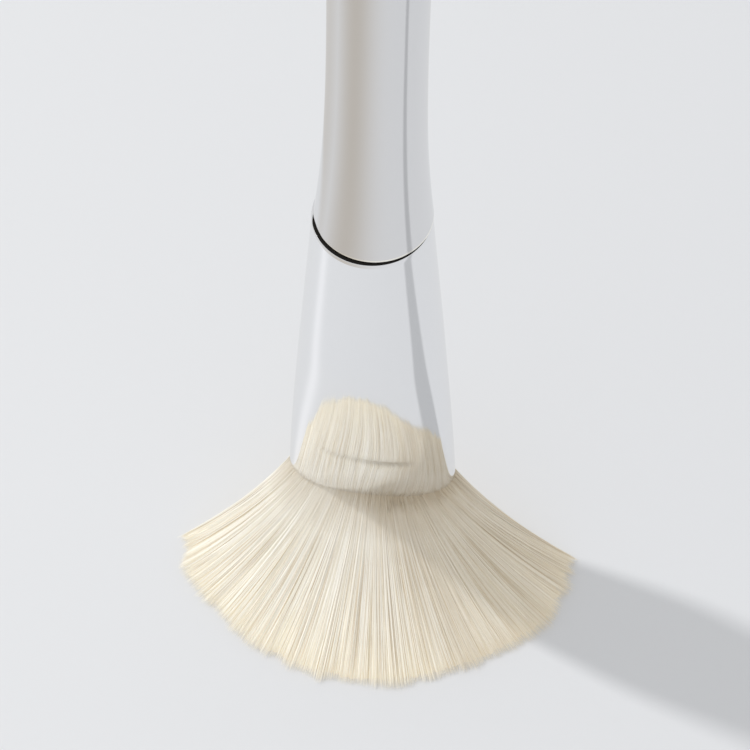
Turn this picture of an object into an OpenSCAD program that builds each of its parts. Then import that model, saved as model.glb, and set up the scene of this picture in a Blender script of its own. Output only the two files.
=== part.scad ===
/* [Stance] */
// Height of the ferrule's mouth above the surface that the bristles are pressed on
mouth_height = 12; // [10:0.5:15]

/* [Ferrule] */
// Length of the ferrule, from its flattened mouth to its round rim
ferrule_length = 49.5; // [40:0.5:60]
// Outer diameter at the round rim
rim_diameter = 13; // [12.4:0.1:15]
// Outer width of the flattened mouth
mouth_width = 18.6; // [16:0.1:22]
// Outer thickness of the flattened mouth
mouth_thickness = 8; // [7:0.1:10]
// Squareness of the mouth's section, where 2 is an ellipse
mouth_squareness = 2.5; // [2:0.1:4]
// How much thicker than its rim the ferrule would be at its mouth if it weren't flattened, on each side
taper_swell = 0.9; // [0:0.1:1.2]
// Share of the length above the flattening, counted from the rim
flatten_start = 0.46; // [0.3:0.02:0.6]
// Thickness of the drawn metal
ferrule_wall = 0.35; // [0.3:0.05:0.5]
// Height of the pressed crimp line above the mouth
crimp_height = 7.5; // [5:0.5:11]
// Length of the crimp line across each flat face
crimp_length = 10.5; // [6:0.5:13]
// Depth of the crimp line
crimp_depth = 0.07; // [0.03:0.01:0.1]

/* [Handle] */
// Length of the handle above the joint
handle_length = 110; // [80:1:140]
// Diameter at the handle's shoulder, beside the ferrule's rim
shoulder_diameter = 12.64; // [12:0.02:12.9]
// Diameter at the waist
waist_diameter = 10.32; // [9:0.02:11.5]
// Height of the waist above the joint
waist_height = 32; // [24:1:40]
// Diameter at the belly
belly_diameter = 11.8; // [10.5:0.1:13]
// Height of the belly above the joint
belly_height = 76; // [60:1:85]
// Diameter where the rounded end begins
end_diameter = 9.2; // [7:0.1:10.5]
// Length of the rounded end
end_round = 3.6; // [2:0.1:5]
// Length of the tenon that is glued into the ferrule
tenon_length = 16; // [10:1:18]
// Diameter of the tenon at the joint
tenon_diameter = 11.7; // [11:0.1:11.8]
// Diameter of the tenon at its lower end
tenon_end_diameter = 9.8; // [8:0.1:10]

/* [Joint] */
// Angle by which the handle sits askew in the ferrule
handle_lean = 1.25; // [0:0.05:1.5]
// Heading that the handle leans to, counted from the right
lean_heading = 57; // [0:1:359]
// Distance by which the handle sits off the ferrule's axis
handle_offset = 0.12; // [0:0.01:0.15]
// Heading of that offset, counted from the right
offset_heading = 30; // [0:1:359]
// Smallest gap between the ferrule's rim and the handle's shoulder
least_gap = 0.05; // [0.02:0.01:0.2]
// Clearance between the set adhesive and the ferrule
adhesive_clearance = 0.08; // [0.06:0.01:0.12]
// Height of the band of adhesive in the joint, below the rim
joint_band = 1.5; // [1:0.1:3]
// Radius of the bead of adhesive that was squeezed out onto the rim
bead_radius = 6.3; // [6.1:0.02:6.4]
// Distance by which the bead lies off the axis, away from the tight side of the joint
bead_offset = 0.22; // [0:0.01:0.25]
// Heading of the bead's fullest side, counted from the right
bead_heading = 242; // [0:1:359]
// Height of the bead's lower side above the rim
bead_lift = 0.1; // [0.08:0.01:0.15]

/* [Bristles] */
// Depth that the bristle roots reach into the ferrule
root_depth = 12; // [8:1:16]
// Space left between the adhesive plug and the handle's tenon
plug_gap = 7.5; // [3:0.5:12]
// Clearance between the bundle of roots and the ferrule's wall
root_clearance = 0.2; // [0.18:0.01:0.3]
// Reach of the front tips from the ferrule's axis
front_reach = 22; // [18:0.5:26]
// Reach of the back tips from the ferrule's axis
back_reach = 8.2; // [6.5:0.1:10]
// Ridges of bristles across the spread front
front_ridges = 62; // [30:2:80]
// Ridges of bristles along the steep back
back_ridges = 22; // [12:2:40]
// Depth of the furrows between ridges at the tips
furrow_depth = 0.55; // [0.2:0.05:0.8]

/* [Hidden] */
rim_radius = rim_diameter / 2;
rim_z = mouth_height + ferrule_length;
root_z = mouth_height + root_depth;
plug_top_z = rim_z - tenon_length - plug_gap;
ferrule_sides = 64;
above_crimp_steps = 12;
crimp_half = 0.36;
flatten_blend = 0.07;
square_start = 0.62;
late_widening = 0.9;
turned_sides = 96;
joint_rise = shoulder_diameter / 2 * sin(handle_lean);
body_steps = 40;
end_steps = 8;
edge_round = 0.3;
edge_steps = 4;
tenon_chamfer = 0.6;
flare_power = 2.8;
left_sweep = 76;
right_sweep = 84;
right_end_x = 23.8;
left_end_x = 21.5;
back_ends_y = -4;
back_ends_slope = 0.066;
bulge_power = 1.4;
fullness = 1.2;
fullness_place = 0.78;
fullness_spread = 0.22;
skirt_rows = 8;
bend_out = 0.36;
bend_down = 0.63;
below_surface = 0.6;

// A number from 0 to 1 that looks random, the same each time for the same index
function scatter(i) = let (s = sin(i * 78.233 + 12.9898) * 437.585) s - floor(s);

// Share of the way from the rim (0) down to the mouth (1)
function descent(z) = (rim_z - z) / ferrule_length;

// A smooth step from 0 to 1
function ease(x) = let (c = min(1, max(0, x))) c * c * (3 - 2 * c);

// A smooth hinge: level before the flattening starts, and straight after it
function hinge(s) = let (past = s - flatten_start) sqrt(past * past + flatten_blend * flatten_blend) + past;

// Half width, half thickness and squareness of the ferrule's outer section
function half_width(s) =
    rim_radius + (mouth_width / 2 - rim_radius) * (s + late_widening * s * s * (1 - s));
function half_thickness(s) =
    let (unpressed = rim_radius + taper_swell * s,
         pressed_in = rim_radius + taper_swell - mouth_thickness / 2)
    unpressed - pressed_in * (hinge(s) - hinge(0)) / (hinge(1) - hinge(0));
function squareness(s) = 2 + (mouth_squareness - 2) * ease((s - square_start) / (1 - square_start));

// Distance from the axis to a rounded oval, along a heading
function oval_radius(w, t, n, heading) =
    1 / pow(pow(abs(cos(heading)) / w, n) + pow(abs(sin(heading)) / t, n), 1 / n);

// How far the crimp line is pressed in at a point of a flat face
function crimp_at(x, z) =
    let (across = min(1, abs(x) / (crimp_length / 2)),
         up = min(1, abs(z - mouth_height - crimp_height) / crimp_half))
    crimp_depth * (1 - across * across) * (1 + cos(180 * up)) / 2;

// A point of the ferrule's section at height z, moved in by inset
function ferrule_point(z, heading, inset) =
    let (s = descent(z),
         r = oval_radius(half_width(s) - inset, half_thickness(s) - inset, squareness(s), heading),
         x = r * cos(heading),
         y = r * sin(heading))
    [x, y - sign(y) * crimp_at(x, z), z];

function ferrule_ring(z, inset) =
    [for (i = [0 : ferrule_sides - 1]) ferrule_point(z, 360 * i / ferrule_sides, inset)];

// Heights of the ferrule's rings, close together over the crimp line
function ferrule_levels() =
    let (low = mouth_height + crimp_height - crimp_half,
         high = mouth_height + crimp_height + crimp_half)
    concat([mouth_height, (mouth_height + low) / 2],
           [for (k = [0 : 4]) low + (high - low) * k / 4],
           [for (k = [1 : above_crimp_steps]) high + (rim_z - high) * k / above_crimp_steps]);

// Closed skin over a stack of rings with the same number of points, capped at both ends
module capped_skin(rings) {
    m = len(rings);
    n = len(rings[0]);
    sides = [for (j = [0 : m - 2], i = [0 : n - 1])
        let (a = j * n + i, b = j * n + (i + 1) % n)
        each [[a, a + n, b], [b, a + n, b + n]]];
    caps = [[for (i = [0 : n - 1]) i], [for (i = [n - 1 : -1 : 0]) (m - 1) * n + i]];
    polyhedron([for (ring = rings) each ring], concat(sides, caps), convexity = 8);
}

// Closed skin over rings that go up outside and come down inside, for a tube
module tube_skin(rings) {
    m = len(rings);
    n = len(rings[0]);
    sides = [for (j = [0 : m - 1], i = [0 : n - 1])
        let (a = j * n + i, b = j * n + (i + 1) % n,
             c = ((j + 1) % m) * n + i, d = ((j + 1) % m) * n + (i + 1) % n)
        each [[a, c, b], [b, c, d]]];
    polyhedron([for (ring = rings) each ring], sides, convexity = 8);
}

// Thin tube, round at its rim and flattened at its mouth, with a crimp line on both faces
module ferrule() {
    levels = ferrule_levels();
    outer = [for (z = levels) ferrule_ring(z, 0)];
    inner = [for (j = [len(levels) - 1 : -1 : 0]) ferrule_ring(levels[j], ferrule_wall)];
    color([0.80, 0.81, 0.83]) tube_skin(concat(outer, inner));
}

// Radius of the handle's body at a height above the joint
function body_radius(h) =
    h < waist_height
        ? waist_diameter / 2 + (shoulder_diameter - waist_diameter) / 2
            * pow(1 - h / waist_height, flare_power)
    : h < belly_height
        ? waist_diameter / 2 + (belly_diameter - waist_diameter) / 2
            * (1 - cos(180 * (h - waist_height) / (belly_height - waist_height))) / 2
        : belly_diameter / 2 - (belly_diameter - end_diameter) / 2
            * (1 - cos(90 * (h - belly_height) / (handle_length - end_round - belly_height)));

// Outline of the turned handle, with its shoulder at height 0 and its tenon below
function handle_outline() =
    let (tenon_end = tenon_end_diameter / 2,
         shoulder = shoulder_diameter / 2,
         end_z = handle_length - end_round,
         lower_edge = [for (k = [0 : edge_steps]) let (a = 90 * k / edge_steps)
             [shoulder - edge_round * (1 - sin(a)), edge_round * (1 - cos(a))]],
         body = [for (k = [1 : body_steps]) let (h = edge_round + (end_z - edge_round) * k / body_steps)
             [body_radius(h), h]],
         round_end = [for (k = [1 : end_steps - 1]) let (a = 90 * k / end_steps)
             [end_diameter / 2 * cos(a), end_z + end_round * sin(a)]])
    concat([[0, -tenon_length], [tenon_end - tenon_chamfer, -tenon_length],
            [tenon_end, tenon_chamfer - tenon_length], [tenon_diameter / 2, 0]],
           lower_edge, body, round_end, [[0, handle_length]]);

// The turned body, askew and a little off the axis, so that the joint is open on the side away from the lean
module turned_body() {
    translate([handle_offset * cos(offset_heading), handle_offset * sin(offset_heading),
               rim_z + least_gap + joint_rise])
        rotate([0, 0, lean_heading])
            rotate([0, handle_lean, 0])
                rotate_extrude($fn = turned_sides)
                    polygon(handle_outline());
}

// One turned piece: tenon, shoulder, waist, belly and rounded end
module handle() {
    color([0.80, 0.79, 0.76]) turned_body();
}

// Dark set adhesive: a band round the tenon, and a bead squeezed out onto the open side of the rim
module joint_adhesive() {
    radius = rim_radius - ferrule_wall - adhesive_clearance;
    widest_gap = least_gap + 2 * joint_rise;
    color([0.12, 0.11, 0.10])
        difference() {
            union() {
                translate([0, 0, rim_z - joint_band])
                    cylinder(h = joint_band + widest_gap, r = radius, $fn = turned_sides);
                translate([bead_offset * cos(bead_heading), bead_offset * sin(bead_heading), rim_z + bead_lift])
                    cylinder(h = widest_gap - bead_lift, r = bead_radius, $fn = turned_sides);
            }
            turned_body();
        }
}

// Plug of set adhesive that fills the ferrule above the bristle roots
module root_adhesive() {
    inset = ferrule_wall + adhesive_clearance;
    plug_steps = 3;
    levels = [for (k = [0 : plug_steps]) root_z + (plug_top_z - root_z) * k / plug_steps];
    color([0.80, 0.72, 0.50]) capped_skin([for (z = levels) ferrule_ring(z, inset)]);
}

// Places round the bundle, from 0 at the left end along the front to 1 at the right end, and on to 2 behind
function bundle_places() =
    concat([for (i = [0 : 2 * front_ridges - 1]) i / (2 * front_ridges)],
           [for (i = [0 : 2 * back_ridges - 1]) 1 + i / (2 * back_ridges)]);

// Share of the half width that a place lies at, from -1 at the left to 1 at the right
function side_share(p) =
    let (q = p < 1 ? 2 * p - 1 : 3 - 2 * p)
    (q + sin(90 * q)) / 2;

// A point of the bundle of roots at height z
function root_point(p, z) =
    let (s = descent(z),
         inset = ferrule_wall + root_clearance,
         u = side_share(p),
         n = squareness(s),
         y = (half_thickness(s) - inset) * pow(max(0, 1 - pow(abs(u), n)), 1 / n))
    [(half_width(s) - inset) * u, (p < 1 ? -1 : 1) * y, z];

// Reach of the front tips, longer to the right, with a fuller right shoulder
function front_tip_reach(u) =
    front_reach + u + u * u + fullness * exp(-pow((u - fullness_place) / fullness_spread, 2));

// The tip on the surface for a place: an arc in front, a steep bulge behind
function tip_point(p) =
    let (u = side_share(p),
         sweep = u < 0 ? left_sweep : right_sweep,
         heading = sweep * u - 90,
         reach = front_tip_reach(u),
         x = u * (u < 0 ? left_end_x : right_end_x),
         bulge = pow(max(0, cos(90 * u)), bulge_power),
         y = back_ends_slope * x + back_ends_y + (back_reach - back_ends_y) * bulge)
    p < 1 ? [reach * cos(heading), reach * sin(heading), 0] : [x, y, 0];

// How far a column stands in or out of the skirt, as a share of the furrow's depth
function ridge_share(i) = (i % 2 == 0 ? 0 : -1) * (0.5 + scatter(i)) + 0.5 * (scatter(floor(i / 7)) - 0.5);

// A point of the skirt of bristles, bent from its root to its tip by a quadratic curve
function skirt_point(p, i, t) =
    let (root = root_point(p, mouth_height),
         bare_tip = tip_point(p),
         out = bare_tip - [root[0], root[1], 0],
         run = norm(out),
         depth = furrow_depth * ridge_share(i) * min(1, run / front_reach * 1.4),
         tip = bare_tip + out / run * depth,
         bend = [root[0] + bend_out * (tip[0] - root[0]), root[1] + bend_out * (tip[1] - root[1]),
                 mouth_height * (1 - bend_down)])
    root * pow(1 - t, 2) + bend * 2 * t * (1 - t) + tip * pow(t, 2);

// Brush of bristles: roots in the ferrule, and a skirt splayed to the front and sides by the surface
module bristles() {
    places = bundle_places();
    count = len(places);
    skirt = [for (k = [skirt_rows : -1 : 0])
        [for (i = [0 : count - 1]) skirt_point(places[i], i, k / skirt_rows)]];
    foot = [for (q = skirt[0]) [q[0], q[1], -below_surface]];
    roots = [for (p = places) root_point(p, root_z)];
    color([0.93, 0.88, 0.79])
        difference() {
            capped_skin(concat([foot], skirt, [roots]));
            translate([-front_reach * 2, -front_reach * 2, -2 * below_surface])
                cube([front_reach * 4, front_reach * 4, 2 * below_surface]);
        }
}

handle();
ferrule();
joint_adhesive();
root_adhesive();
bristles();
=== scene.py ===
"""Looks of a face mask brush: a polished handle and ferrule over a skirt of fine fibres on a surface."""

import logging
import math
from collections.abc import Sequence
from dataclasses import dataclass, field
from enum import Enum

import bpy
import numpy as np
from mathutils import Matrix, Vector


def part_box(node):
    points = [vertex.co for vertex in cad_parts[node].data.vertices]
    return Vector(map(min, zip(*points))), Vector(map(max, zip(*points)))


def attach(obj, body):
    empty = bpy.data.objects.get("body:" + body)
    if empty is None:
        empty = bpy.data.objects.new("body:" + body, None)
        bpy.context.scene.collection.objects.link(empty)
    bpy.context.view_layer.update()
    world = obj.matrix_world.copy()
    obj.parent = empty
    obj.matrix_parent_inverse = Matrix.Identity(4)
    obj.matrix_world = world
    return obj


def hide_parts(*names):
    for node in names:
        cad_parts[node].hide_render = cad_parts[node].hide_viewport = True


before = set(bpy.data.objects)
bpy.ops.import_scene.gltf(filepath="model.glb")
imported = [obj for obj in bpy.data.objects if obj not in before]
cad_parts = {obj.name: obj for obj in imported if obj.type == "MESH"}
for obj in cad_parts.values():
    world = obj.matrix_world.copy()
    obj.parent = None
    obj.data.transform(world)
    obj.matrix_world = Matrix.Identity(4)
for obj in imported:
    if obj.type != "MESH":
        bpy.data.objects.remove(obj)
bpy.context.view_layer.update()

log = logging.getLogger("face_mask_brush")

Array = np.ndarray
Color = tuple[float, float, float, float]
Material = bpy.types.Material
Piece = bpy.types.Object
Profile = Sequence[tuple[float, float]]
Socket = bpy.types.NodeSocket

MM = 0.001
BODY = "root"
FRAME_PIXELS = 750
SENSOR_WIDTH = 36.0
BLACK = (0.0, 0.0, 0.0, 1.0)
EDGE_ANGLE = math.radians(60)
TINY = 1e-9


class Slot(Enum):
    """Material slots of the record."""

    HANDLE = "handle_metal"
    FERRULE = "ferrule_metal"
    JOINT = "joint_adhesive"
    PLUG = "root_adhesive"
    FIBRE = "bristle_fibre"


class Side(Enum):
    """Stretches of the skirt, each a piece of its own, as places from 0 (left) over 1 (right) to 2."""

    LEFT = (0.0, 0.2)
    FRONT_LEFT = (0.2, 0.4)
    FRONT = (0.4, 0.6)
    FRONT_RIGHT = (0.6, 0.8)
    RIGHT = (0.8, 1.0)
    BACK_RIGHT = (1.0, 1.5)
    BACK_LEFT = (1.5, 2.0)


def ease(x: float | Array) -> float | Array:
    """Gives a smooth step from 0 to 1 over a share of the way, which may lie outside 0 to 1."""
    c = np.clip(x, 0.0, 1.0)
    return c * c * (3.0 - 2.0 * c)


def bell(x: Array, middle: float, width: float) -> Array:
    """Gives a smooth bump of height 1 round a middle."""
    return np.exp(-(((x - middle) / width) ** 2))


def select_only(piece: Piece) -> None:
    """Makes one object the only selected and the active one.

    Args:
        piece: The object to work on.
    """
    bpy.ops.object.select_all(action="DESELECT")
    piece.select_set(True)
    bpy.context.view_layer.objects.active = piece


def apply_modifier(piece: Piece, kind: str, **settings: object) -> None:
    """Adds a modifier to a piece and applies it at once.

    Args:
        piece: The object that the modifier finishes.
        kind: Blender's name of the modifier's type.
        **settings: Values for the modifier's own properties.
    """
    select_only(piece)
    modifier = piece.modifiers.new(kind.lower(), kind)
    for name, value in settings.items():
        setattr(modifier, name, value)
    bpy.ops.object.modifier_apply(modifier=modifier.name)


def round_edges(piece: Piece, width: float, segments: int) -> None:
    """Rounds the sharp edges of a piece."""
    apply_modifier(
        piece, "BEVEL", width=width, segments=segments, limit_method="ANGLE", angle_limit=EDGE_ANGLE
    )


def place_points(piece: Piece, points: Array) -> None:
    """Moves every vertex of a piece to its row of x, y and z, in metres."""
    piece.data.vertices.foreach_set("co", points.astype(np.float32).ravel())
    piece.data.update()


def read_points(piece: Piece) -> Array:
    """Reads the vertices of a piece.

    Args:
        piece: The object whose mesh is read.

    Returns:
        One row of x, y and z for each vertex, in metres.
    """
    points = np.empty(len(piece.data.vertices) * 3, np.float32)
    piece.data.vertices.foreach_get("co", points)
    return points.reshape(-1, 3).astype(float)


def headings(points: Array) -> Array:
    """Gives the angle of each point round the upright axis."""
    return np.arctan2(points[:, 1], points[:, 0])


def mark(mesh: bpy.types.Mesh, name: str, values: Array) -> None:
    """Stores one number for each vertex of a mesh, for its material to read."""
    attribute = mesh.attributes.new(name, "FLOAT", "POINT")
    attribute.data.foreach_set("value", values.astype(np.float32))


def face_outwards() -> None:
    """Turns the faces of the piece in edit mode outwards and goes back to object mode."""
    bpy.ops.mesh.select_all(action="SELECT")
    bpy.ops.mesh.normals_make_consistent(inside=False)
    bpy.ops.object.mode_set(mode="OBJECT")


def draw_up(name: str, sides: int, profile: Profile, filled: bool = True, tip: float | None = None) -> Piece:
    """Draws a ring or a disc along the upright axis, with one extrusion for each step of a profile.

    Args:
        name: Name of the piece.
        sides: Number of points round it.
        profile: Pairs of height and radius.
        filled: Whether faces close its ends.
        tip: Height of the point that closes its last ring, if one does.

    Returns:
        The piece, with its place in its mesh.
    """
    height, radius = profile[0]
    fill = "NGON" if filled else "NOTHING"
    bpy.ops.object.select_all(action="DESELECT")
    bpy.ops.mesh.primitive_circle_add(vertices=sides, radius=radius, fill_type=fill, location=(0, 0, height))
    piece = bpy.context.object
    piece.name = name
    bpy.ops.object.transform_apply(location=True, rotation=False, scale=False)
    bpy.ops.object.mode_set(mode="EDIT")
    bpy.ops.mesh.select_all(action="SELECT")
    for (low, inner), (high, outer) in zip(profile, profile[1:]):
        bpy.ops.mesh.extrude_region_move(TRANSFORM_OT_translate={"value": (0, 0, high - low)})
        if outer != inner:
            grow = outer / inner
            bpy.ops.transform.resize(value=(grow, grow, 1), center_override=(0, 0, high))
    if tip is not None:
        bpy.ops.mesh.extrude_region_move(TRANSFORM_OT_translate={"value": (0, 0, tip - profile[-1][0])})
        bpy.ops.mesh.merge(type="CENTER")
    face_outwards()
    return piece


def hand_over(
    piece: Piece, material: Material, node: str | None = None, crease: float | None = None
) -> None:
    """Dresses a finished piece and joins it to the frame.

    Args:
        piece: The finished object, with its place in its mesh.
        material: The piece's finish.
        node: Name of the node that the piece replaces, if it replaces one.
        crease: Angle in degrees over which its edges stay sharp, or None for flat faces.
    """
    if crease is not None:
        select_only(piece)
        bpy.ops.object.shade_smooth_by_angle(angle=math.radians(crease))
    piece.data.materials.append(material)
    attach(piece, BODY)
    if node is not None:
        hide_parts(node)
    log.info("%s: %d faces, stands for %s", piece.name, len(piece.data.polygons), node or "no node")


class ShaderSheet:
    """A node tree that is filled node by node, with short calls."""

    def __init__(self, tree: bpy.types.NodeTree) -> None:
        """Starts on a material's or group's node tree."""
        self.tree = tree

    def feed(self, socket: Socket, value: object) -> None:
        """Brings a value to an input socket.

        Args:
            socket: The input socket.
            value: A value, or an output socket to link.
        """
        if isinstance(value, Socket):
            self.tree.links.new(value, socket)
        else:
            socket.default_value = value

    def node(self, kind: str, **values: object) -> bpy.types.Node:
        """Adds a node and sets its properties.

        Args:
            kind: Blender's identifier of the node's type.
            **values: Properties of the node.

        Returns:
            The new node.
        """
        made = self.tree.nodes.new(kind)
        for name, value in values.items():
            setattr(made, name, value)
        return made

    def set(self, made: bpy.types.Node, **inputs: object) -> bpy.types.Node:
        """Sets input sockets of a node, by name with underscores for spaces.

        Args:
            made: The node.
            **inputs: A value, or an output socket to link.

        Returns:
            The same node.
        """
        for name, value in inputs.items():
            self.feed(made.inputs[name.replace("_", " ")], value)
        return made

    def math(self, operation: str, *terms: object, clamp: bool = False) -> Socket:
        """Adds a Math node.

        Args:
            operation: Blender's name of the operation.
            *terms: Numbers or output sockets, in the order of the inputs.
            clamp: Whether the result is held between 0 and 1.

        Returns:
            The node's output socket.
        """
        made = self.node("ShaderNodeMath", operation=operation, use_clamp=clamp)
        for socket, term in zip(made.inputs, terms):
            self.feed(socket, term)
        return made.outputs[0]

    def times(self, first: object, second: object, clamp: bool = False) -> Socket:
        """Multiplies two numbers or output sockets."""
        return self.math("MULTIPLY", first, second, clamp=clamp)

    def mark(self, name: str) -> Socket:
        """Reads the numbers that a mesh stores for its vertices."""
        return self.node("ShaderNodeAttribute", attribute_name=name).outputs["Fac"]

    def place(self) -> Socket:
        """Reads the place of a point in its object."""
        return self.node("ShaderNodeTexCoord").outputs["Object"]

    def noise(self, vector: Socket, scale: float, detail: float) -> Socket:
        """Adds a noise texture, with a scale in repeats for each unit and a number of finer layers."""
        made = self.node("ShaderNodeTexNoise")
        return self.set(made, Vector=vector, Scale=scale, Detail=detail).outputs["Fac"]

    def stretched(self, vector: Socket, scale: Sequence[float]) -> Socket:
        """Stretches coordinates by a factor along each of their axes."""
        return self.set(self.node("ShaderNodeMapping"), Vector=vector, Scale=scale).outputs["Vector"]

    def bump(self, height: Socket, strength: float, depth: float) -> Socket:
        """Turns a height into a surface direction, with a strength and the depth of the highest bump."""
        made = self.node("ShaderNodeBump")
        return self.set(made, Strength=strength, Distance=depth, Height=height).outputs["Normal"]

    def blend(self, share: object, low: object, high: object) -> Socket:
        """Mixes two colours.

        Args:
            share: Share of the second colour.
            low: First colour.
            high: Second colour.

        Returns:
            The mixed colour.
        """
        made = self.node("ShaderNodeMix", data_type="RGBA")
        for index, value in ((0, share), (6, low), (7, high)):
            self.feed(made.inputs[index], value)
        return made.outputs[2]


def start_material(name: str) -> tuple[Material, ShaderSheet, bpy.types.Node]:
    """Starts a material with an empty surface shader.

    Args:
        name: Name of the material.

    Returns:
        The material, its sheet and its Principled shader.
    """
    material = bpy.data.materials.new(name)
    material.use_nodes = True
    material.node_tree.nodes.clear()
    sheet = ShaderSheet(material.node_tree)
    shader = sheet.node("ShaderNodeBsdfPrincipled")
    sheet.set(sheet.node("ShaderNodeOutputMaterial"), Surface=shader.outputs["BSDF"])
    return material, sheet, shader


@dataclass(frozen=True)
class HandlingMarks:
    """Effect of handling on polished metal: faint smears, hairlines and a slow waviness."""

    smear_scale: float = 160.0
    smear_layers: float = 4.0
    smear_stretch: tuple[float, float, float] = (1.0, 1.0, 0.4)
    smear_power: float = 2.0
    hair_scale: float = 9000.0
    hair_layers: float = 2.0
    hair_stretch: tuple[float, float, float] = (1.0, 1.0, 0.02)
    hair_share: float = 0.02
    wave_scale: float = 55.0
    wave_layers: float = 1.0

    def build(self) -> bpy.types.NodeTree:
        """Builds the effect as a node group.

        Returns:
            The group, which puts out a roughness and a height.
        """
        tree = bpy.data.node_groups.new("handling_marks", "ShaderNodeTree")
        for label in ("Smear", "Polish", "Wave", "Hairline"):
            tree.interface.new_socket(label, in_out="INPUT", socket_type="NodeSocketFloat")
        for label in ("Roughness", "Height"):
            tree.interface.new_socket(label, in_out="OUTPUT", socket_type="NodeSocketFloat")
        sheet = ShaderSheet(tree)
        entry = sheet.node("NodeGroupInput").outputs
        place = sheet.place()
        smear = sheet.noise(sheet.stretched(place, self.smear_stretch), self.smear_scale, self.smear_layers)
        smear = sheet.math("POWER", smear, self.smear_power)
        hair = sheet.noise(sheet.stretched(place, self.hair_stretch), self.hair_scale, self.hair_layers)
        hair = sheet.times(sheet.times(hair, entry["Hairline"]), self.hair_share)
        wave = sheet.times(sheet.noise(place, self.wave_scale, self.wave_layers), entry["Wave"])
        rough = sheet.math("ADD", entry["Polish"], sheet.times(smear, entry["Smear"]))
        height = sheet.math("ADD", wave, hair)
        sheet.set(sheet.node("NodeGroupOutput"), Roughness=rough, Height=height)
        return tree


@dataclass(frozen=True)
class MetalFinish:
    """Polished metal with traces of handling, with painted shade along its outline and over the crimp line,
    and a painted highlight band.
    """

    name: str
    color: Color
    shade: Color
    polish: float
    edge_power: float
    edge_share: float
    smear: float = 0.03
    wave: float = 1.0
    hairline: float = 1.0
    edge_highlight_color: Color = (1.0, 0.98, 0.9, 1.0)
    bump_strength: float = 0.08
    bump_depth: float = 0.05 * MM

    def make(self, handling: bpy.types.NodeTree) -> Material:
        """Makes the material.

        Args:
            handling: The group of handling marks.

        Returns:
            The finished material, which reads the painted crimp shade and painted edge highlight marks of its
            mesh.
        """
        material, sheet, shader = start_material(self.name)
        marks = sheet.node("ShaderNodeGroup", node_tree=handling)
        sheet.set(marks, Smear=self.smear, Polish=self.polish, Wave=self.wave, Hairline=self.hairline)
        # Painted shade: the metal's colour is darkened toward its outline, and where the crimp's painted
        # shade mark is set.
        facing = sheet.node("ShaderNodeLayerWeight").outputs["Facing"]
        edge = sheet.times(sheet.math("POWER", facing, self.edge_power), self.edge_share)
        dark = sheet.math("ADD", edge, sheet.mark("pressed"), clamp=True)
        shaded = sheet.blend(dark, self.color, self.shade)
        # Painted highlight: the marked band at the handle's lower edge takes a pale cream colour.
        sheet.set(
            shader,
            Base_Color=sheet.blend(sheet.mark("painted_edge_highlight"), shaded, self.edge_highlight_color),
            Metallic=1.0,
            Roughness=marks.outputs["Roughness"],
            Normal=sheet.bump(marks.outputs["Height"], self.bump_strength, self.bump_depth),
        )
        return material


@dataclass(frozen=True)
class AdhesiveFinish:
    """Set adhesive, dark or amber, with a slightly uneven skin."""

    name: str
    color: Color
    pale: Color
    roughness: float
    gloss: float
    cloud_scale: float = 700.0
    cloud_layers: float = 4.0
    bump_strength: float = 0.4
    bump_depth: float = 0.1 * MM

    def make(self) -> Material:
        """Makes the material.

        Returns:
            The finished material.
        """
        material, sheet, shader = start_material(self.name)
        cloud = sheet.noise(sheet.place(), self.cloud_scale, self.cloud_layers)
        sheet.set(
            shader,
            Base_Color=sheet.blend(cloud, self.color, self.pale),
            Roughness=self.roughness,
            Specular_IOR_Level=self.gloss,
            Normal=sheet.bump(cloud, self.bump_strength, self.bump_depth),
        )
        return material


@dataclass(frozen=True)
class FibreFinish:
    """Fine synthetic fibre, a little different from strand to strand, with painted shade at its roots,
    painted light toward its tip and a painted glow there.
    """

    name: str
    deep: Color
    light: Color
    roughness: float
    root_shade_span: float = 0.3
    root_shade: float = 0.44
    tip_power: float = 4.0
    tip_share: float = 0.25
    glow: float = 0.08
    glow_power: float = 1.3
    glow_color: Color = (0.90, 0.89, 0.78, 1.0)

    def make(self) -> Material:
        """Makes the material.

        Returns:
            The finished material, which reads the marks tone and along of its mesh.
        """
        material, sheet, shader = start_material(self.name)
        along = sheet.mark("along")
        # Painted light and shade: lighter toward the tips, darker at the roots, with a painted glow in the
        # tips.
        tip = sheet.times(sheet.math("POWER", along, self.tip_power), self.tip_share)
        near = sheet.math("SUBTRACT", 1.0, sheet.times(along, 1 / self.root_shade_span, clamp=True))
        change = sheet.math("SUBTRACT", tip, sheet.times(near, self.root_shade))
        share = sheet.math("ADD", sheet.mark("tone"), change, clamp=True)
        sheet.set(
            shader,
            Base_Color=sheet.blend(share, self.deep, self.light),
            Roughness=self.roughness,
            Emission_Color=sheet.blend(sheet.math("POWER", along, self.glow_power), BLACK, self.glow_color),
            Emission_Strength=self.glow,
        )
        return material


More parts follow.
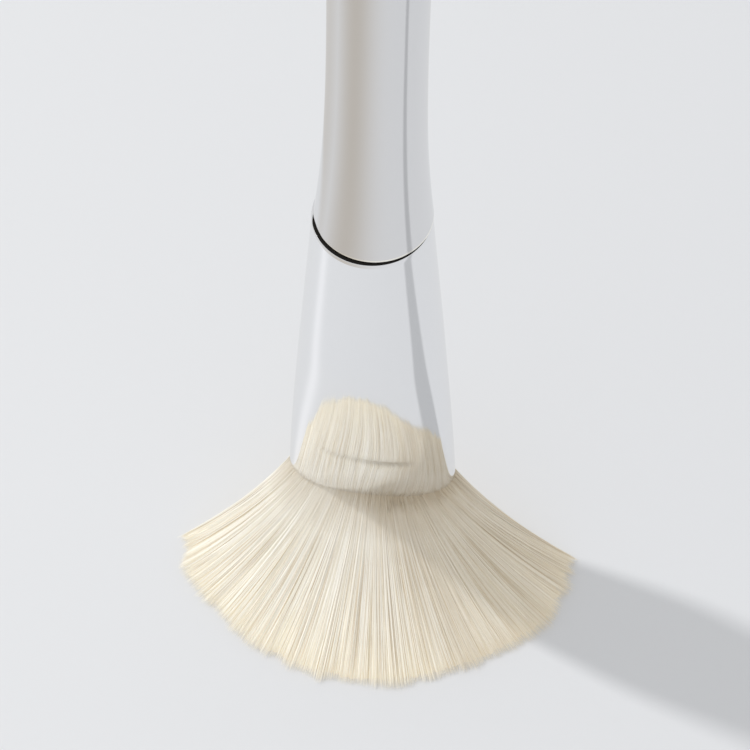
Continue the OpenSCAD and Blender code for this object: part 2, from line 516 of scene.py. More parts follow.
@dataclass(frozen=True)
class FerruleForm:
    """Form of the drawn tube, shared by the ferrule and the bundle of fibres that it grips, in metres."""

    mouth_z: float
    length: float
    rim_radius: float = 6.36 * MM
    mouth_half_width: float = 9.3 * MM
    mouth_half_thickness: float = 4.0 * MM
    mouth_squareness: float = 2.29
    taper_swell: float = 1.3 * MM
    flatten_start: float = 0.445
    flatten_blend: float = 0.09
    square_start: float = 0.45
    late_widening: float = 0.6
    press_turn: float = math.radians(-7.7)
    wall: float = 0.35 * MM
    crimp_height: float = 8.4 * MM
    crimp_length: float = 11 * MM
    crimp_depth: float = 0.055 * MM
    crimp_above: float = 0.7 * MM
    crimp_below: float = 1.7 * MM
    crimp_faint: float = 0.42
    crimp_soft: float = 0.75 * MM
    crimp_fade: float = 0.5
    crimp_ends: int = 4

    @property
    def rim_z(self) -> float:
        """Height of the round rim."""
        return self.mouth_z + self.length

    def descent(self, z: Array) -> Array:
        """Share of the way from the rim (0) down to the mouth (1)."""
        return (self.rim_z - z) / self.length

    def half_width(self, s: Array) -> Array:
        """Half width of the outer section at a share of the descent."""
        widening = s + self.late_widening * s * s * (1 - s)
        return self.rim_radius + (self.mouth_half_width - self.rim_radius) * widening

    def half_thickness(self, s: Array) -> Array:
        """Half thickness of the outer section at a share of the descent."""
        unpressed = self.rim_radius + self.taper_swell * s
        pressed_in = self.rim_radius + self.taper_swell - self.mouth_half_thickness
        level = self.hinge(0.0)
        return unpressed - pressed_in * (self.hinge(s) - level) / (self.hinge(1.0) - level)

    def hinge(self, s: Array | float) -> Array | float:
        """Smooth hinge: level before the flattening starts and straight after it."""
        past = s - self.flatten_start
        return np.sqrt(past * past + self.flatten_blend**2) + past

    def squareness(self, s: Array) -> Array:
        """Exponent of the section's rounded oval, where 2 is an ellipse."""
        return 2 + (self.mouth_squareness - 2) * ease((s - self.square_start) / (1 - self.square_start))

    def turned(self, x: Array, y: Array, s: Array) -> tuple[Array, Array]:
        """Turns points of a section a little round the axis, most halfway down, as the press left it."""
        turn = self.press_turn * 4 * s * (1 - s)
        return x * np.cos(turn) - y * np.sin(turn), x * np.sin(turn) + y * np.cos(turn)

    def crimp(self, x: Array, z: Array) -> Array:
        """Gives how far the crimp line sinks in: steep above, slow below, and fainter at the left.

        Args:
            x: Places across the flat face.
            z: Heights.

        Returns:
            The depth at each place.
        """
        above = z - self.mouth_z - self.crimp_height
        up = np.minimum(1.0, np.abs(above) / np.where(above > 0, self.crimp_above, self.crimp_below))
        return self.crimp_depth * self.crimp_firmness(x) * (1 + np.cos(np.pi * up)) / 2

    def crimp_firmness(self, x: Array) -> Array:
        """Gives how firmly the crimp is pressed across the flat face, from 0 to 1."""
        across = np.clip(x / (self.crimp_length / 2), -1.0, 1.0)
        firm = self.crimp_faint + (1 - self.crimp_faint) * ease(across + self.crimp_fade)
        return (1 - across**self.crimp_ends) * firm

    def crimp_shade(self, points: Array) -> Array:
        """Gives how much painted shade the crimp line lays on the metal at points of the tube, from 0 to 1.
        """
        above = points[:, 2] - self.mouth_z - self.crimp_height
        return self.crimp_firmness(points[:, 0]) * bell(above, 0.0, self.crimp_soft)

    def outline(self, heading: Array, z: Array, inset: float = 0.0) -> Array:
        """Gives points of the outer skin, or of a skin inside it.

        Args:
            heading: Angle round the axis of each point, in radians.
            z: Height of each point.
            inset: Distance from the outer skin.

        Returns:
            One row of x, y and z for each point.
        """
        s = self.descent(z)
        n = self.squareness(s)
        c = np.abs(np.cos(heading)) / (self.half_width(s) - inset)
        t = np.abs(np.sin(heading)) / (self.half_thickness(s) - inset)
        radius = (c**n + t**n) ** (-1 / n)
        x = radius * np.cos(heading)
        y = radius * np.sin(heading)
        y = y - np.sign(y) * self.crimp(x, z)
        x, y = self.turned(x, y, s)
        return np.column_stack([x, y, z])


@dataclass
class Ferrule:
    """Thin drawn tube, round at its rim and flattened at its mouth."""

    form: FerruleForm
    sides: int = 192
    coarse_steps: int = 70
    crimp_steps: int = 26
    ring_gap: float = 0.1 * MM
    lip: float = 0.05 * MM
    lip_segments: int = 3
    pressed_shade: float = 0.8
    crease: float = 50.0

    def levels(self) -> list[float]:
        """Gives the heights of the tube's rings, close together over the crimp line.

        Returns:
            Heights from the mouth to the rim.
        """
        form = self.form
        low = form.mouth_z + form.crimp_height - form.crimp_below
        high = form.mouth_z + form.crimp_height + form.crimp_above
        coarse = np.linspace(form.mouth_z, form.rim_z, self.coarse_steps)
        kept = [z for z in coarse if z < low - self.ring_gap or z > high + self.ring_gap]
        return sorted(kept + list(np.linspace(low, high, self.crimp_steps)))

    def build(self, material: Material) -> Piece:
        """Builds the tube: a ring drawn up level by level, shaped to its section, with a wall, lips and a
        painted shade mark over the crimp line.

        Args:
            material: The ferrule's finish.

        Returns:
            The finished piece.
        """
        profile = [(z, self.form.rim_radius) for z in self.levels()]
        tube = draw_up("ferrule_tube", self.sides, profile, filled=False)
        points = read_points(tube)
        place_points(tube, self.form.outline(headings(points), points[:, 2]))
        apply_modifier(tube, "SOLIDIFY", thickness=self.form.wall, offset=-1.0, use_even_offset=True)
        round_edges(tube, self.lip, self.lip_segments)
        # Painted shade: marks the band of darker metal along the crimp line for the ferrule's material.
        mark(tube.data, "pressed", self.pressed_shade * self.form.crimp_shade(read_points(tube)))
        hand_over(tube, material, "ferrule", self.crease)
        return tube


@dataclass
class Handle:
    """One turned piece: tenon, shoulder, waist, belly and rounded end."""

    rim_z: float
    length: float = 110 * MM
    shoulder_radius: float = 6.3 * MM
    waist_radius: float = 5.16 * MM
    waist_height: float = 32 * MM
    belly_radius: float = 5.9 * MM
    belly_height: float = 76 * MM
    end_radius: float = 4.6 * MM
    end_round: float = 3.6 * MM
    tenon_length: float = 16 * MM
    tenon_radius: float = 5.7 * MM
    tenon_end_radius: float = 4.9 * MM
    tenon_chamfer: float = 0.6 * MM
    edge_round: float = 0.1 * MM
    highlight_band: float = 0.25 * MM
    flare_power: float = 2.8
    lean: float = math.radians(1.55)
    lean_heading: float = math.radians(67)
    offset: float = 0.16 * MM
    offset_heading: float = math.radians(37)
    least_gap: float = 0.05 * MM
    sides: int = 160
    body_steps: int = 110
    edge_steps: int = 6
    end_steps: int = 14
    crease: float = 30.0

    def body_radius(self, h: float) -> float:
        """Gives the radius of the turned body.

        Args:
            h: Height above the shoulder.

        Returns:
            The radius there.
        """
        if h < self.waist_height:
            flare = (1 - h / self.waist_height) ** self.flare_power
            return self.waist_radius + (self.shoulder_radius - self.waist_radius) * flare
        if h < self.belly_height:
            share = (h - self.waist_height) / (self.belly_height - self.waist_height)
            swell = (1 - math.cos(math.pi * share)) / 2
            return self.waist_radius + (self.belly_radius - self.waist_radius) * swell
        share = (h - self.belly_height) / (self.length - self.end_round - self.belly_height)
        return self.belly_radius - (self.belly_radius - self.end_radius) * (1 - math.cos(math.pi / 2 * share))

    def outline(self) -> list[tuple[float, float]]:
        """Gives the turned outline from the tenon's end to the last ring of the rounded end.

        Returns:
            Pairs of height above the shoulder and radius.
        """
        points = [
            (-self.tenon_length, self.tenon_end_radius - self.tenon_chamfer),
            (self.tenon_chamfer - self.tenon_length, self.tenon_end_radius),
            (0.0, self.tenon_radius),
        ]
        for k in range(self.edge_steps + 1):
            a = math.pi / 2 * k / self.edge_steps
            sunk = self.edge_round * (1 - math.sin(a))
            points.append((self.edge_round * (1 - math.cos(a)), self.shoulder_radius - sunk))
        points.append((self.highlight_band, self.body_radius(self.highlight_band)))
        start_z = self.highlight_band + self.edge_round
        end_z = self.length - self.end_round
        for k in range(self.body_steps + 1):
            h = start_z + (end_z - start_z) * k / self.body_steps
            points.append((h, self.body_radius(h)))
        for k in range(1, self.end_steps):
            a = math.pi / 2 * k / self.end_steps
            points.append((end_z + self.end_round * math.sin(a), self.end_radius * math.cos(a)))
        return points

    def build(self, material: Material) -> Piece:
        """Builds the handle: a disc drawn up ring by ring along the outline, closed at its end and set askew.

        Args:
            material: The handle's finish.

        Returns:
            The finished piece.
        """
        body = draw_up("handle_body", self.sides, self.outline(), tip=self.length)
        height = read_points(body)[:, 2]
        # Painted highlight: marks a thin band at the shoulder's lower edge for a pale cream colour.
        mark(body.data, "painted_edge_highlight", (height > -self.edge_round) & (height < self.highlight_band + self.edge_round / 2))
        self.set_askew(body)
        hand_over(body, material, "handle", self.crease)
        return body

    def underside(self, heading: Array) -> Array:
        """Gives the height of the shoulder's edge above the rim at headings round the axis."""
        rise = self.shoulder_radius * math.sin(self.lean)
        return self.least_gap + rise * (1 - np.cos(heading - self.lean_heading))

    def set_askew(self, body: Piece) -> None:
        """Leans the handle about its shoulder and sets it a little off the axis on the rim, all in the mesh.

        Args:
            body: The upright handle, with its shoulder at height 0.
        """
        points = read_points(body)
        rise = self.shoulder_radius * math.sin(self.lean)
        across = np.array([math.cos(self.lean_heading), math.sin(self.lean_heading), 0.0])
        away = points @ across
        up = points[:, 2]
        leaned_away = away * math.cos(self.lean) + up * math.sin(self.lean)
        leaned_up = up * math.cos(self.lean) - away * math.sin(self.lean)
        moved = points + np.outer(leaned_away - away, across)
        moved[:, 0] += self.offset * math.cos(self.offset_heading)
        moved[:, 1] += self.offset * math.sin(self.offset_heading)
        moved[:, 2] = leaned_up + self.rim_z + self.least_gap + rise
        place_points(body, moved)


@dataclass
class JointBead:
    """Dark adhesive round the tenon, squeezed out onto the rim where the joint is open; its near-black colour
    and its fullness at the front left also stand in for painted shade in the open gap.
    """

    form: FerruleForm
    handle: Handle
    band: float = 1.4 * MM
    tenon_clearance: float = 0.02 * MM
    wall_clearance: float = 0.06 * MM
    rim_clearance: float = 0.03 * MM
    recessed: float = 6.1 * MM
    fullest: float = 6.33 * MM
    full_heading: float = math.radians(258)
    full_half: float = math.radians(78)
    full_fade: float = 0.35
    bulge: float = 0.03 * MM
    sides: int = 160
    crease: float = 60.0

    def section(self, heading: Array) -> Array:
        """Gives the bead's section, ring by ring from its hidden lower edge round to its hidden upper edge.

        Args:
            heading: Angles round the axis, in radians.

        Returns:
            Distance from the axis and height, by ring and heading.
        """
        rim_z = self.form.rim_z
        away = heading - self.handle.offset_heading
        tenon = self.handle.tenon_radius + self.tenon_clearance + self.handle.offset * np.cos(away)
        band = self.form.rim_radius - self.form.wall - self.wall_clearance
        full = ease((np.cos(heading - self.full_heading) - math.cos(self.full_half)) / self.full_fade)
        reach = self.recessed + (self.fullest - self.recessed) * full
        low = rim_z + self.rim_clearance
        high = np.maximum(rim_z + self.handle.underside(heading), low + self.rim_clearance)
        foot = rim_z - self.band
        rings = [
            (tenon, foot),
            (band, foot),
            (band, low),
            (reach, low),
            (reach + self.bulge * full, (low + high) / 2),
            (reach - self.bulge * full, high),
            (tenon, high),
        ]
        return np.stack([np.stack(np.broadcast_arrays(*ring, heading)[:2]) for ring in rings])

    def build(self, material: Material) -> Piece:
        """Builds the bead: a ring drawn out along its section, joined to its start and laid round the tenon.

        Args:
            material: The adhesive's finish.

        Returns:
            The finished piece.
        """
        steps = len(self.section(np.zeros(1)))
        bead = draw_up("joint_bead", self.sides, [(float(k), 1.0) for k in range(steps)], filled=False)
        bpy.ops.object.mode_set(mode="EDIT")
        bpy.ops.mesh.select_mode(type="EDGE")
        bpy.ops.mesh.select_all(action="DESELECT")
        bpy.ops.mesh.select_non_manifold()
        bpy.ops.mesh.bridge_edge_loops()
        bpy.ops.object.mode_set(mode="OBJECT")
        flat = read_points(bead)
        heading = headings(flat)
        ring = np.rint(flat[:, 2]).astype(int)
        radius, height = self.section(heading)[ring, :, np.arange(len(ring))].T
        place_points(bead, np.column_stack([radius * np.cos(heading), radius * np.sin(heading), height]))
        bpy.ops.object.mode_set(mode="EDIT")
        face_outwards()
        hand_over(bead, material, "joint_adhesive", self.crease)
        return bead


@dataclass
class Plug:
    """Set adhesive that fills the ferrule above the roots of the fibres."""

    form: FerruleForm
    low_z: float
    high_z: float
    clearance: float = 0.08 * MM
    edge: float = 0.2 * MM
    edge_segments: int = 2
    sides: int = 96
    steps: int = 12
    crease: float = 50.0

    def build(self, material: Material) -> Piece:
        """Builds the plug: a disc drawn up level by level and given the tube's section.

        Args:
            material: The adhesive's finish.

        Returns:
            The finished piece.
        """
        levels = np.linspace(self.low_z, self.high_z, self.steps + 1)
        plug = draw_up("adhesive_plug", self.sides, [(z, self.form.rim_radius) for z in levels])
        points = read_points(plug)
        place_points(plug, self.form.outline(headings(points), points[:, 2], self.form.wall + self.clearance))
        round_edges(plug, self.edge, self.edge_segments)
        hand_over(plug, material, "root_adhesive", self.crease)
        return plug


@dataclass
class Bundle:
    """Lay of the fibres: gripped by the ferrule, and splayed to the front and sides by the surface."""

    form: FerruleForm
    root_z: float
    front_share: float = 0.7
    front_reach: float = 22 * MM
    front_slope: float = 1.0 * MM
    right_fuller: tuple[float, float, float] = (1.2 * MM, 0.78, 0.22)
    left_fuller: tuple[float, float, float] = (1.0 * MM, -0.84, 0.13)
    end_shorter: tuple[float, float, float] = (0.8 * MM, 1.0, 0.12)
    back_reach: float = 8.2 * MM
    back_sides: float = 4 * MM
    back_slope: float = 0.066
    back_power: float = 1.4
    left_sweep: float = math.radians(76)
    right_sweep: float = math.radians(84)
    left_end_x: float = 21.5 * MM
    right_end_x: float = 23.8 * MM
    bend_out: float = 0.36
    bend_down: float = 0.63
    grip: float = 0.06 * MM
    big_clump: float = 0.032
    clump_jitter: float = 0.35
    last_place: float = 0.9999
    turn_samples: int = 801
    seed: int = 7
    rng: np.random.RandomState = field(init=False)

    def __post_init__(self) -> None:
        """Seeds the bundle's own random numbers."""
        self.rng = np.random.RandomState(self.seed)

    def share_of_turn(self, q: Array) -> Array:
        """Share of the half width at an even turn from the left (-1) to the right (1)."""
        return (q + np.sin(np.pi / 2 * q)) / 2

    def side_share(self, p: Array) -> Array:
        """Share of the half width that a place lies at, from -1 at the left to 1 at the right."""
        return self.share_of_turn(np.where(p < 1, 2 * p - 1, 3 - 2 * p))

    def place_of_share(self, u: Array, front: Array) -> Array:
        """Gives the place round the bundle of a share of its half width.

        Args:
            u: Shares from -1 to 1.
            front: True where the place lies in front.

        Returns:
            Places from 0 to 2.
        """
        turns = np.linspace(-1, 1, self.turn_samples)
        q = np.interp(u, self.share_of_turn(turns), turns)
        return np.where(front, (q + 1) / 2, (3 - q) / 2)

    def held(self, p: Array, front: Array) -> Array:
        """Holds places on their own side of the bundle, front or back."""
        return np.where(front, np.clip(p, 0.0, self.last_place), np.clip(p, 1.0, 1 + self.last_place))

    def hem(self, p: Array) -> Array:
        """Gives where the outermost fibres touch the surface.

        Args:
            p: Places round the bundle.

        Returns:
            One row of x and y for each place.
        """
        u = self.side_share(p)
        heading = np.where(u < 0, self.left_sweep, self.right_sweep) * u - math.pi / 2
        reach = self.front_reach + self.front_slope * (u + u * u)
        for height, middle, width in (self.right_fuller, self.left_fuller):
            reach = reach + height * bell(u, middle, width)
        height, middle, width = self.end_shorter
        reach = reach - height * bell(np.abs(u), middle, width)
        front = np.column_stack([reach * np.cos(heading), reach * np.sin(heading)])
        x = u * np.where(u < 0, self.left_end_x, self.right_end_x)
        bulge = np.maximum(0.0, np.cos(np.pi / 2 * u)) ** self.back_power
        y = self.back_slope * x - self.back_sides + (self.back_reach + self.back_sides) * bulge
        return np.where((p < 1)[:, None], front, np.column_stack([x, y]))

    def root_spots(self, p: Array, out: Array, z: float) -> Array:
        """Gives points of the fibres inside the ferrule.

        Args:
            p: Places round the bundle.
            out: Shares of the way out from the middle.
            z: Height of the points.

        Returns:
            One row of x, y and z for each fibre.
        """
        s = np.array(self.form.descent(z))
        inset = self.form.wall + self.grip
        n = self.form.squareness(s)
        u = self.side_share(p)
        x = (self.form.half_width(s) - inset) * u * out
        rest = np.maximum(0.0, 1 - np.abs(u) ** n) ** (1 / n)
        y = np.where(p < 1, -1, 1) * (self.form.half_thickness(s) - inset) * rest * out
        x, y = self.form.turned(x, y, s)
        return np.column_stack([x, y, np.full(len(p), z)])

    def clump_pull(self, p: Array, spacing: float) -> tuple[Array, Array]:
        """Finds the clump that each fibre leans to.

        Args:
            p: Places round the bundle.
            spacing: Mean distance between clumps, in places.

        Returns:
            The place of each fibre's clump, and the clump's index.
        """
        centres = np.arange(0, 2 + spacing, spacing)
        centres = centres + self.rng.uniform(-self.clump_jitter, self.clump_jitter, len(centres)) * spacing
        index = np.abs(p[:, None] - centres[None, :]).argmin(axis=1)
        return centres[index], index

    def arcs(
        self,
        root: Array,
        tip: Array,
        lift: Array | float,
        tip_z: Array,
        shares: Sequence[float],
    ) -> list[Array]:
        """Bends fibres from the mouth out and down to the surface.

        Args:
            root: Points at the mouth, one for each fibre.
            tip: x and y of the fibres' ends.
            lift: How far the bend is raised.
            tip_z: Height of the ends.
            shares: Shares of the way to the tip.

        Returns:
            The points of all fibres, for each share.
        """
        bend = root.copy()
        bend[:, :2] += self.bend_out * (tip - root[:, :2])
        bend[:, 2] = self.form.mouth_z * (1 - self.bend_down) + lift
        end = np.column_stack([tip, tip_z])
        return [root * (1 - t) ** 2 + bend * 2 * t * (1 - t) + end * t * t for t in shares]


@dataclass
class BristleMass:
    """Dense inside of the bundle, as one closed piece under the single fibres."""

    bundle: Bundle
    columns: int = 1500
    rows: tuple[float, ...] = (0.0, 0.05, 0.12, 0.2, 0.3, 0.4, 0.5, 0.6, 0.7, 0.8, 0.88, 0.94, 1.0)
    inset: float = 0.045
    inset_fray: float = 0.008
    root_squeeze: float = 0.97
    reach: float = 0.94
    reach_soft: float = 0.012
    reach_fray: float = 0.004
    soft_span: int = 7
    clump_hold: float = 0.12
    sag: float = 0.1 * MM
    tip_z: float = 0.12 * MM
    under_z: float = 0.03 * MM
    under_share: float = 0.985
    tone: float = 0.5
    tone_fray: float = 0.2
    tone_soft: float = 0.25

    def places(self) -> tuple[Array, Array]:
        """Spreads the columns of the piece round the bundle.

        Returns:
            The place of each column, and whether it lies in front.
        """
        in_front = int(self.columns * self.bundle.front_share)
        behind = self.columns - in_front
        share = np.concatenate([
            -1 + 2 * (np.arange(in_front) + 0.5) / in_front,
            1 - 2 * (np.arange(behind) + 0.5) / behind,
        ])
        front = np.arange(self.columns) < in_front
        return self.bundle.place_of_share(share, front), front

    def lines(self, fray: Array, soft: Array, p: Array, tip_p: Array) -> Array:
        """Lays each column along its fibres, from the roots to the hem and under it.

        Args:
            fray: Random unevenness of each column.
            soft: The same, averaged over neighbours.
            p: Place of each column.
            tip_p: Place of each column's end.

        Returns:
            The points, by column and row.
        """
        lay = self.bundle
        tip = lay.hem(tip_p) * (self.reach + self.reach_soft * soft + self.reach_fray * fray)[:, None]
        out = 1 - self.inset + self.inset_fray * fray
        root = lay.root_spots(p, out, lay.form.mouth_z)
        rows = [lay.root_spots(p, out * self.root_squeeze, lay.root_z)]
        rows += lay.arcs(root, tip, -self.sag, np.full(len(p), self.tip_z), self.rows)
        rows.append(np.column_stack([tip * self.under_share, np.full(len(p), self.under_z)]))
        return np.stack(rows, axis=1)

    def build(self, material: Material) -> Piece:
        """Builds the piece: a disc drawn down row by row and laid along the fibres.

        Args:
            material: The finish of the dense inside of the bundle.

        Returns:
            The finished piece.
        """
        rng = self.bundle.rng
        along = np.array([0.0, *self.rows, 1.0])
        mass = draw_up("bristle_mass", self.columns, [(-float(k), 1.0) for k in range(len(along))])
        flat = read_points(mass)
        turn = np.mod(headings(flat) / (2 * np.pi), 1.0)
        column = np.mod(np.rint(turn * self.columns).astype(int), self.columns)
        row = np.rint(-flat[:, 2]).astype(int)
        p, front = self.places()
        clump, _ = self.bundle.clump_pull(p, self.bundle.big_clump)
        fray = rng.normal(0, 1, self.columns)
        window = np.ones(self.soft_span) / self.soft_span
        soft = np.convolve(np.tile(fray, 3), window, "same")[self.columns : 2 * self.columns]
        tip_p = self.bundle.held(p + self.clump_hold * (clump - p), front)
        place_points(mass, self.lines(fray, soft, p, tip_p)[column, row])
        tone = self.tone + self.tone_fray * rng.normal(0, 1, self.columns) + self.tone_soft * soft
        mark(mass.data, "tone", np.clip(tone, 0, 1)[column])
        mark(mass.data, "along", along[row])
        hand_over(mass, material, "bristles")
        return mass


@dataclass(frozen=True)
class FibreShape:
    """One modelled fibre: the ring and the offset across it of each vertex, and the faces."""

    ring: Array
    across: Array
    faces: list[tuple[int, ...]]


@dataclass
class Strands:
    """The single fibres, all copies of one modelled fibre, with a piece for each stretch of the skirt."""

    bundle: Bundle
    count: int = 13000
    sides: int = 3
    radius: float = 0.055 * MM
    thinnest: float = 0.8
    thickest: float = 1.2
    rings: tuple[float, ...] = (0.0, 0.13, 0.27, 0.41, 0.55, 0.69, 0.81, 0.91, 1.0)
    taper: float = 0.7
    taper_start: float = 0.6
    taper_span: float = 0.45
    crowded: float = 0.35
    depth: float = 0.07
    root_squeeze: float = 0.98
    small_clump: float = 0.008
    big_draws: int = 400
    small_draws: int = 600
    hold: float = 0.4
    big_pull: float = 0.2
    small_pull: float = 0.8
    stray: float = 0.004
    longest: float = 1.01
    inner_short: float = 0.3
    big_short: float = 0.012
    small_short: float = 0.014
    ragged: float = 0.03
    lift: float = 0.17 * MM
    tip_low: float = 0.05 * MM
    tip_high: float = 0.4 * MM
    floor_gap: float = 0.01 * MM
    tone: float = 0.97
    tone_big: float = 0.02
    tone_small: float = 0.03
    tone_fray: float = 0.06
    deep_share: float = 0.18
    deep_least: float = 0.4
    deep_most: float = 0.9
    deep_start: float = 0.1
    deep_fade: float = 0.45
    painted_shadow_strength: float = 0.41
    slow_start: float = 0.4
    slow_width: float = 0.26
    shadow_place: float = 0.6
    shadow_bend: float = 0.3
    shadow_fade: float = 0.16
    shadow_width: float = 0.08
    shadow_slow: float = 0.35
    back_width: float = 0.5

    def scatter_roots(self) -> tuple[Array, Array]:
        """Scatters the roots over the mouth, so that the splayed fibres lie evenly side by side.

        Returns:
            The place round the bundle and the share of the way out from its middle, for each fibre.
        """
        rng = self.bundle.rng
        crowded = np.sin(np.pi / 2 * rng.uniform(-1, 1, self.count))
        even = rng.uniform(-1, 1, self.count)
        u = np.where(rng.uniform(0, 1, self.count) < self.crowded, crowded, even)
        front = rng.uniform(0, 1, self.count) < self.bundle.front_share
        out = 1 - self.depth * rng.uniform(0, 1, self.count)
        return self.bundle.place_of_share(u, front), out

    def centre_lines(self) -> tuple[Array, Array, Array, Array]:
        """Works out the line that each fibre follows.

        Returns:
            Points of every line by fibre and ring, and for each fibre its place, tone and depth.
        """
        lay = self.bundle
        rng = lay.rng
        p, out = self.scatter_roots()
        big, big_index = lay.clump_pull(p, lay.big_clump)
        small, small_index = lay.clump_pull(p, self.small_clump)
        big_tone = rng.uniform(-1, 1, self.big_draws)[big_index]
        small_tone = rng.uniform(-1, 1, self.small_draws)[small_index]
        hold = rng.uniform(0.0, self.hold, self.count)
        pull = hold * (self.big_pull * (big - p) + self.small_pull * (small - p))
        tip_p = lay.held(p + pull + rng.normal(0, self.stray, self.count), p < 1)
        reach = self.longest - self.inner_short * (1 - out)
        reach = reach * (1 - self.big_short * big_tone - self.small_short * small_tone)
        reach = reach - np.abs(rng.normal(0, self.ragged, self.count))
        lift = rng.uniform(-1, 1, self.count) * self.lift
        tip_z = rng.uniform(self.tip_low, self.tip_high, self.count)
        root = lay.root_spots(p, out, lay.form.mouth_z)
        rings = [lay.root_spots(p, out * self.root_squeeze, lay.root_z)]
        rings += lay.arcs(root, lay.hem(tip_p) * reach[:, None], lift, tip_z, self.rings)
        chosen = rng.uniform(0, 1, self.count) < self.deep_share
        deep = chosen * rng.uniform(self.deep_least, self.deep_most, self.count)
        tone = self.tone + self.tone_big * big_tone + self.tone_small * small_tone
        tone = tone - np.abs(rng.normal(0, self.tone_fray, self.count))
        return np.stack(rings, axis=1), p, tone, deep

    def painted_shadow(self, p: Array, along: Array) -> Array:
        """Gives the painted shadow of the ferrule and handle that darkens the fibres toward the right.

        Args:
            p: Places round the bundle, as a column.
            along: Shares of the way to the tip, as a row.

        Returns:
            What the tone loses, by fibre and share of the way.
        """
        border = self.shadow_place - self.shadow_bend * np.exp(-along / self.shadow_fade)
        slow = ease((p - self.slow_start) / self.slow_width)
        crisp = ease((p - border) / self.shadow_width)
        front = self.shadow_slow * slow + (1 - self.shadow_slow) * crisp
        return self.painted_shadow_strength * np.where(p < 1, front, ease((2 - p) / self.back_width))

    def model_fibre(self) -> FibreShape:
        """Models one straight fibre: a slender prism drawn out ring by ring and tapered to its tip.

        Returns:
            The fibre, one unit long for each ring and one unit in radius.
        """
        profile = [(0.0, 1.0)]
        for k, t in enumerate(self.rings[:-1], start=1):
            profile.append((float(k), float(1 - self.taper * ease((t - self.taper_start) / self.taper_span))))
        strand = draw_up("fibre_model", self.sides, profile, tip=float(len(self.rings)))
        points = read_points(strand)
        faces = [tuple(face.vertices) for face in strand.data.polygons]
        bpy.data.objects.remove(strand)
        return FibreShape(np.rint(points[:, 2]).astype(int), points[:, :2], faces)

    def lay_along(self, lines: Array, shape: FibreShape) -> Array:
        """Lays the modelled fibre along every line, with a roll and a width of its own.

        Args:
            lines: Points of every line, by fibre and ring.
            shape: The modelled fibre.

        Returns:
            The places of the vertices, by fibre and vertex.
        """
        rng = self.bundle.rng
        run = np.gradient(lines, axis=1)
        run /= np.linalg.norm(run, axis=2, keepdims=True)
        side = np.cross(run, np.array([0.0, 0.0, 1.0]))
        side[:, 0] = side[:, 2]
        side /= np.maximum(np.linalg.norm(side, axis=2, keepdims=True), TINY)
        top = np.cross(run, side)
        roll = rng.uniform(0, 2 * np.pi, self.count)[:, None]
        width = (self.radius * rng.uniform(self.thinnest, self.thickest, self.count))[:, None]
        x, y = shape.across.T
        wide = width * (x * np.cos(roll) - y * np.sin(roll))
        high = width * (x * np.sin(roll) + y * np.cos(roll))
        ring = shape.ring
        points = lines[:, ring] + side[:, ring] * wide[:, :, None] + top[:, ring] * high[:, :, None]
        points[:, :, 2] = np.maximum(points[:, :, 2], self.floor_gap)
        return points

    def build(self, material: Material) -> list[Piece]:
        """Builds the fibres as one piece for each stretch of the skirt.

        Args:
            material: The fibres' finish.

        Returns:
            The finished pieces.
        """
        lines, places, tones, deep = self.centre_lines()
        shape = self.model_fibre()
        points = self.lay_along(lines, shape)
        along = np.array([0.0, *self.rings])[shape.ring]
        sunk = deep[:, None] * ease((along[None, :] - self.deep_start) / self.deep_fade)
        # Painted shadow: tones darken toward the right, along the shadow of the ferrule and handle.
        shades = np.clip(tones[:, None] - sunk - self.painted_shadow(places[:, None], along[None, :]), 0.0, 1.0)
        pieces = []
        for stretch in Side:
            first, last = stretch.value
            chosen = (places >= first) & (places < last)
            pieces.append(self.weave(stretch, points[chosen], shades[chosen], along, shape.faces, material))
        return pieces

    def weave(
        self,
        stretch: Side,
        points: Array,
        tones: Array,
        along: Array,
        faces: list[tuple[int, ...]],
        material: Material,
    ) -> Piece:
        """Makes one piece of the fibres of a stretch.

        Args:
            stretch: The stretch of the skirt.
            points: Places of the vertices, by fibre and vertex.
            tones: Tones, by fibre and vertex.
            along: Share of the way to the tip of each of a fibre's vertices.
            faces: Faces of one fibre.
            material: The fibres' finish.

        Returns:
            The finished piece.
        """
        count, size = points.shape[:2]
        mesh = bpy.data.meshes.new(f"bristles_{stretch.name.lower()}")
        shifted = [tuple(index + size * k for index in face) for k in range(count) for face in faces]
        mesh.from_pydata(points.reshape(-1, 3).tolist(), [], shifted)
        mark(mesh, "tone", tones.ravel())
        mark(mesh, "along", np.tile(along, count))
        mesh.update()
        piece = bpy.data.objects.new(mesh.name, mesh)
        bpy.context.scene.collection.objects.link(piece)
        hand_over(piece, material)
        return piece


